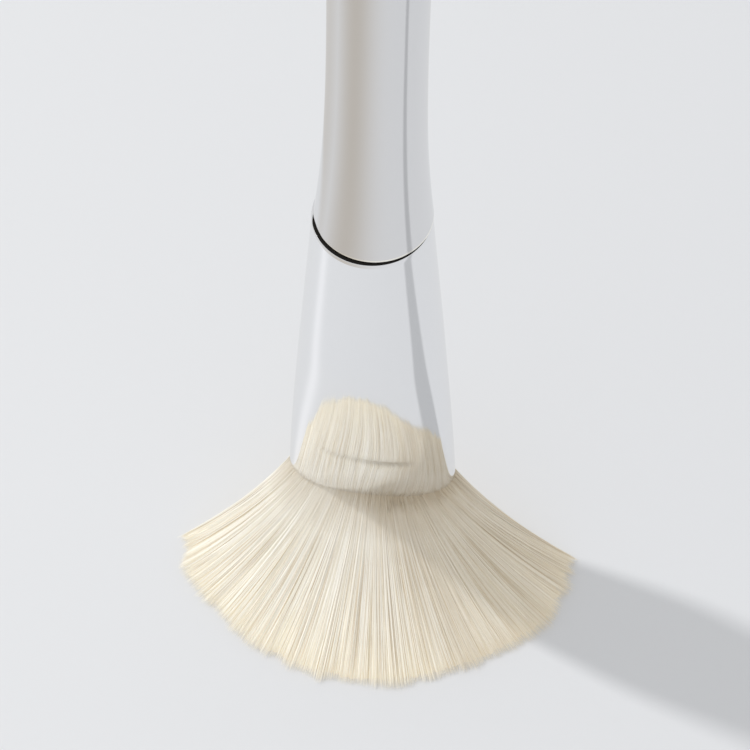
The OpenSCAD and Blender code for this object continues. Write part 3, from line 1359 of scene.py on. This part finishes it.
@dataclass
class Studio:
    """Pale floor with painted light falloff, soft light and the camera of the photograph."""

    floor_size: float = 3.0
    floor_cuts: int = 8
    floor_left: Color = (0.83, 0.835, 0.845, 1.0)
    floor_right: Color = (0.73, 0.735, 0.75, 1.0)
    floor_fade: float = 110 * MM
    paper_roughness: float = 0.9
    paper_gloss: float = 0.2
    card_color: Color = (0.60, 0.56, 0.51, 1.0)
    card_pale: Color = (0.93, 0.93, 0.945, 1.0)
    card_sides: int = 96
    card_height: float = 0.06 * MM
    card_inner: float = 10 * MM
    card_change: float = 57 * MM
    card_blur: float = 4 * MM
    card_outer: float = 230 * MM
    card_fade: float = 110 * MM
    warm_heading: float = math.radians(-140)
    warm_spread: float = math.radians(43)
    side_heading: float = math.radians(132)
    side_spread: float = math.radians(48)
    side_weight: float = 0.6
    pale_heading: float = math.radians(178)
    pale_spread: float = math.radians(9)
    sky_color: Color = (0.98, 0.99, 1.0, 1.0)
    sky: float = 0.735
    sun: float = 1.17
    sun_elevation: float = math.radians(48)
    sun_angle: float = math.radians(3)
    shadow_turn: float = math.radians(27.2)
    azimuth: float = math.radians(7.5)
    elevation: float = math.radians(57.5)
    distance: float = 600 * MM
    focal_pixels: float = 5511.0
    clip_end: float = 10.0
    aim: tuple[float, float, float] = (0.28 * MM, 0.0, 30.6 * MM)
    bounces: int = 12
    diffuse_bounces: int = 8
    brightest: float = 2.0

    def lay_floor(self) -> None:
        """Lays the pale floor."""
        bpy.ops.object.select_all(action="DESELECT")
        cuts = self.floor_cuts
        bpy.ops.mesh.primitive_grid_add(x_subdivisions=cuts, y_subdivisions=cuts, size=self.floor_size)
        floor = bpy.context.object
        floor.name = "studio_floor"
        material, sheet, shader = start_material("studio_floor_paper")
        self.dress_paper(sheet, shader, self.paper_with_painted_falloff(sheet))
        floor.data.materials.append(material)

    def dress_paper(self, sheet: ShaderSheet, shader: bpy.types.Node, color: Socket) -> None:
        """Gives a shader the dull surface of paper in a colour."""
        sheet.set(
            shader, Base_Color=color, Roughness=self.paper_roughness, Specular_IOR_Level=self.paper_gloss
        )

    def across(self, sheet: ShaderSheet) -> tuple[Socket, Socket]:
        """Adds the places of the floor to a material, as the camera sees them.

        Args:
            sheet: The material's sheet.

        Returns:
            The distance to the right of the axis and the distance away from the camera.
        """
        turned = sheet.node("ShaderNodeMapping")
        sheet.set(turned, Vector=sheet.place(), Rotation=(0.0, 0.0, -self.azimuth))
        parts = sheet.set(sheet.node("ShaderNodeSeparateXYZ"), Vector=turned.outputs["Vector"])
        return parts.outputs["X"], parts.outputs["Y"]

    def paper_with_painted_falloff(self, sheet: ShaderSheet) -> Socket:
        """Adds the paper's colour to a material, with painted light that makes it a little paler at the left.
        """
        # Painted light: the paper is paler at the left, as if the key light fell off to the right.
        share = sheet.math("MULTIPLY_ADD", self.across(sheet)[0], 0.5 / self.floor_fade, 0.5, clamp=True)
        return sheet.blend(share, self.floor_left, self.floor_right)

    def toward(self, sheet: ShaderSheet, heading: float, spread: float) -> Socket:
        """Adds a share that is 1 along a heading on the floor and fades to both sides.

        Args:
            sheet: The material's sheet.
            heading: The heading, as the camera sees it.
            spread: Angle within which the share fades.

        Returns:
            The share, from 0 to 1.
        """
        right, away = self.across(sheet)
        off = sheet.math("ABSOLUTE", sheet.math("SUBTRACT", sheet.math("ARCTAN2", away, right), heading))
        off = sheet.math("MINIMUM", off, sheet.math("SUBTRACT", 2 * math.pi, off))
        near = sheet.math("DIVIDE", off, spread)
        return sheet.math("EXPONENT", sheet.times(sheet.times(near, near), -1.0))

    def card_tone(self, sheet: ShaderSheet) -> Socket:
        """Adds the card's colour to its material.

        Args:
            sheet: The material's sheet.

        Returns:
            The colour of the painted reflections: pale at the left close by, for the ferrule, and warm
                farther out, for the handle.
        """
        right, away = self.across(sheet)
        span = sheet.math("SQRT", sheet.math("ADD", sheet.times(right, right), sheet.times(away, away)))
        past = sheet.math("SUBTRACT", span, self.card_change)
        far = sheet.math("MULTIPLY_ADD", past, 1 / self.card_blur, 0.5, clamp=True)
        side = sheet.times(self.toward(sheet, self.side_heading, self.side_spread), self.side_weight)
        warm = sheet.math("MAXIMUM", self.toward(sheet, self.warm_heading, self.warm_spread), side)
        left_over = sheet.math("SUBTRACT", self.card_outer, span)
        warm = sheet.times(warm, sheet.times(left_over, 1 / self.card_fade, clamp=True))
        pale = self.toward(sheet, self.pale_heading, self.pale_spread)
        near_tone = sheet.blend(pale, self.paper_with_painted_falloff(sheet), self.card_pale)
        far_tone = sheet.blend(warm, self.paper_with_painted_falloff(sheet), self.card_color)
        return sheet.blend(far, near_tone, far_tone)

    def lay_card(self) -> None:
        """Lays the ring of card that only polished metal mirrors: a painted reflection, seen in the metal and
        nowhere else.
        """
        card = draw_up("mirrored_card", self.card_sides, [(0.0, self.card_outer)])
        bpy.ops.object.mode_set(mode="EDIT")
        bpy.ops.mesh.select_all(action="SELECT")
        bpy.ops.mesh.inset(thickness=self.card_outer - self.card_inner)
        bpy.ops.mesh.delete(type="FACE")
        bpy.ops.mesh.select_all(action="SELECT")
        bpy.ops.transform.translate(value=(0, 0, self.card_height))
        bpy.ops.object.mode_set(mode="OBJECT")
        material, sheet, shader = start_material("mirrored_card_paper")
        self.dress_paper(sheet, shader, self.card_tone(sheet))
        card.data.materials.append(material)
        card.visible_camera = False
        card.visible_diffuse = False
        card.visible_shadow = False

    def light(self) -> None:
        """Sets the soft fill all round and the small key light at the back left."""
        world = bpy.data.worlds.new("studio_air")
        bpy.context.scene.world = world
        world.use_nodes = True
        sheet = ShaderSheet(world.node_tree)
        sheet.tree.nodes.clear()
        glow = sheet.set(sheet.node("ShaderNodeBackground"), Color=self.sky_color, Strength=self.sky)
        sheet.set(sheet.node("ShaderNodeOutputWorld"), Surface=glow.outputs["Background"])
        lamp = bpy.data.lights.new("key_light", "SUN")
        lamp.energy = self.sun
        lamp.angle = self.sun_angle
        holder = bpy.data.objects.new("key_light", lamp)
        bpy.context.scene.collection.objects.link(holder)
        heading = self.azimuth + math.pi - self.shadow_turn
        holder.rotation_euler = (0.0, math.pi / 2 - self.sun_elevation, heading)

    def set_camera(self) -> None:
        """Sets the camera at the photograph's angle."""
        lens = bpy.data.cameras.new("front_camera")
        lens.sensor_width = SENSOR_WIDTH
        lens.lens = self.focal_pixels / FRAME_PIXELS * SENSOR_WIDTH
        lens.clip_end = self.clip_end
        holder = bpy.data.objects.new("front_camera", lens)
        bpy.context.scene.collection.objects.link(holder)
        flat = self.distance * math.cos(self.elevation)
        holder.location = (
            self.aim[0] + flat * math.sin(self.azimuth),
            self.aim[1] - flat * math.cos(self.azimuth),
            self.aim[2] + self.distance * math.sin(self.elevation),
        )
        holder.rotation_euler = (math.pi / 2 - self.elevation, 0.0, self.azimuth)
        bpy.context.scene.camera = holder

    def build(self) -> None:
        """Builds the whole studio, with plain display of tones."""
        self.lay_floor()
        self.lay_card()
        self.light()
        self.set_camera()
        scene = bpy.context.scene
        scene.view_settings.view_transform = "Standard"
        scene.cycles.max_bounces = self.bounces
        scene.cycles.diffuse_bounces = self.diffuse_bounces
        scene.cycles.sample_clamp_direct = self.brightest


def main() -> None:
    """Builds the studio, then each piece in order."""
    logging.basicConfig(level=logging.INFO, format="%(name)s: %(message)s")
    Studio().build()
    low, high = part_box("ferrule")
    form = FerruleForm(mouth_z=low.z, length=high.z - low.z)
    handling = HandlingMarks().build()
    handle_metal = MetalFinish(
        "polished_handle",
        color=(0.795, 0.795, 0.80, 1.0),
        shade=(0.45, 0.45, 0.46, 1.0),
        polish=0.03,
        edge_power=9.0,
        edge_share=0.8,
    )
    ferrule_metal = MetalFinish(
        "bright_ferrule",
        color=(0.885, 0.89, 0.90, 1.0),
        shade=(0.50, 0.49, 0.47, 1.0),
        polish=0.04,
        edge_power=7.0,
        edge_share=0.5,
    )
    # Near-black adhesive, whose dark also stands in for painted shade in the joint's gap.
    joint = AdhesiveFinish(
        "dark_adhesive_and_gap_shade",
        color=(0.005, 0.004, 0.003, 1.0),
        pale=(0.012, 0.010, 0.008, 1.0),
        roughness=0.6,
        gloss=0.1,
    )
    plug = AdhesiveFinish(
        "amber_adhesive",
        color=(0.55, 0.40, 0.18, 1.0),
        pale=(0.75, 0.62, 0.36, 1.0),
        roughness=0.25,
        gloss=0.5,
    )
    fibre = FibreFinish(
        "cream_fibre", deep=(0.66, 0.56, 0.41, 1.0), light=(1.0, 0.965, 0.88, 1.0), roughness=0.4
    )
    fibre_mass = FibreFinish(
        "cream_fibre_mass", deep=(0.72, 0.59, 0.38, 1.0), light=(0.96, 0.90, 0.78, 1.0), roughness=0.45
    )
    handle = Handle(rim_z=form.rim_z)
    handle.build(handle_metal.make(handling))
    JointBead(form, handle).build(joint.make())
    Ferrule(form).build(ferrule_metal.make(handling))
    bundle = Bundle(form, root_z=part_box("bristles")[1].z)
    BristleMass(bundle).build(fibre_mass.make())
    Strands(bundle).build(fibre.make())
    low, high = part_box("root_adhesive")
    Plug(form, low_z=low.z, high_z=high.z).build(plug.make())


if __name__ == "__main__":
    main()
